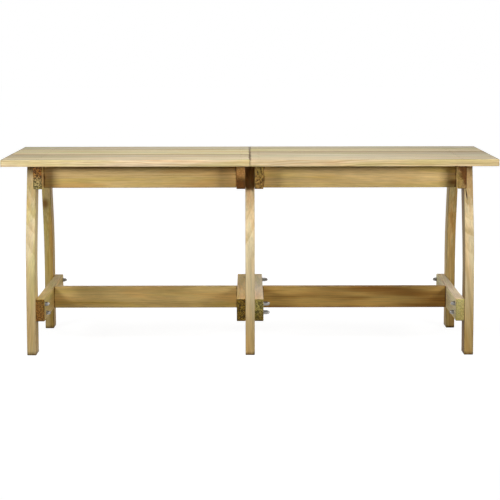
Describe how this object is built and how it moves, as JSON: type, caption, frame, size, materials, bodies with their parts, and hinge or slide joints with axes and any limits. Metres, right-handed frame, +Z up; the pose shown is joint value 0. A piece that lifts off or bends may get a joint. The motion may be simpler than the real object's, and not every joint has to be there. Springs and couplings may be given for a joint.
{
  "type": "garden table",
  "caption": "Long garden table of treated pine: planked top in two halves on bolted trestle frames with curved legs, joined by low stretchers.",
  "frame": {"origin": "on the floor under the middle of the table", "axes": "+X along the table to the right as seen from the front, +Y from front to back, +Z up"},
  "size_m": [1.8, 0.74, 0.72],
  "materials": {
    "pine_planks": "planed, pale, faintly green from treatment",
    "pine_frame": "sawn and planed, golden brown with green and pink tints",
    "zinc_steel": "zinc plated, dull"
  },
  "bodies": {
    "root": {"apron_left_back": "pine_frame", "apron_left_front": "pine_frame", "apron_right_back": "pine_frame", "apron_right_front": "pine_frame", "apron_screws_left": "zinc_steel", "apron_screws_right": "zinc_steel", "bearer_left_end": "pine_frame", "bearer_left_middle": "pine_frame", "bearer_right_end": "pine_frame", "bearer_right_middle": "pine_frame", "bolts_left_frame": "zinc_steel", "bolts_middle_frame": "zinc_steel", "bolts_right_frame": "zinc_steel", "dome_nuts_left_frame": "zinc_steel", "dome_nuts_middle_frame": "zinc_steel", "dome_nuts_right_frame": "zinc_steel", "leg_left_back": "pine_frame", "leg_left_front": "pine_frame", "leg_middle_back": "pine_frame", "leg_middle_front": "pine_frame", "leg_right_back": "pine_frame", "leg_right_front": "pine_frame", "lower_rail_left_end": "pine_frame", "lower_rail_left_middle": "pine_frame", "lower_rail_right_end": "pine_frame", "lower_rail_right_middle": "pine_frame", "plain_nuts_middle_frame": "zinc_steel", "plank_left_1": "pine_planks", "plank_left_2": "pine_planks", "plank_left_3": "pine_planks", "plank_left_4": "pine_planks", "plank_left_5": "pine_planks", "plank_right_1": "pine_planks", "plank_right_2": "pine_planks", "plank_right_3": "pine_planks", "plank_right_4": "pine_planks", "plank_right_5": "pine_planks", "plank_screws_left": "zinc_steel", "plank_screws_right": "zinc_steel", "stretcher_left": "pine_frame", "stretcher_right": "pine_frame", "stretcher_screws_left": "zinc_steel", "stretcher_screws_right": "zinc_steel", "washers_left_frame": "zinc_steel", "washers_middle_frame": "zinc_steel", "washers_right_frame": "zinc_steel"}
  },
  "joints": []
}
